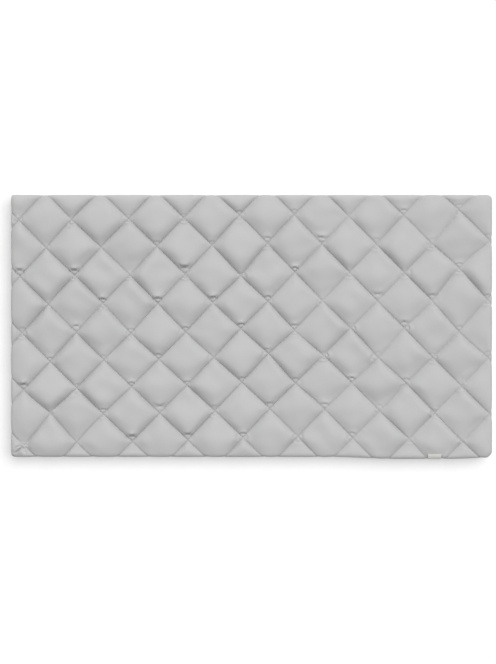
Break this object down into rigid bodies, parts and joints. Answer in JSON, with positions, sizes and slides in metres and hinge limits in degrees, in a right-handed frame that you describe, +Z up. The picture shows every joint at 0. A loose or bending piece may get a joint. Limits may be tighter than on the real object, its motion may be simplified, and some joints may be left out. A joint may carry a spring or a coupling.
{
  "type": "travel cot fitted sheet on its mattress",
  "caption": "Diamond-quilted fitted sheet for a travel cot, pulled over its flat foam mattress and tucked in underneath, with a small bare label on one long edge.",
  "frame": {"origin": "on the surface it rests on, under the middle of its outline", "axes": "+X along its length, +Y across its width away from the labelled edge, +Z up"},
  "size_m": [1.1, 0.6044, 0.0631],
  "materials": {
    "sheet_cloth": "light grey quilted cotton, plain fine weave",
    "label_ribbon": "off-white woven ribbon, bare",
    "mattress_cover": "plain off-white cotton cover"
  },
  "bodies": {
    "root": {"quilted_sheet": "sheet_cloth", "side_label": "label_ribbon", "mattress": "mattress_cover"}
  },
  "joints": []
}
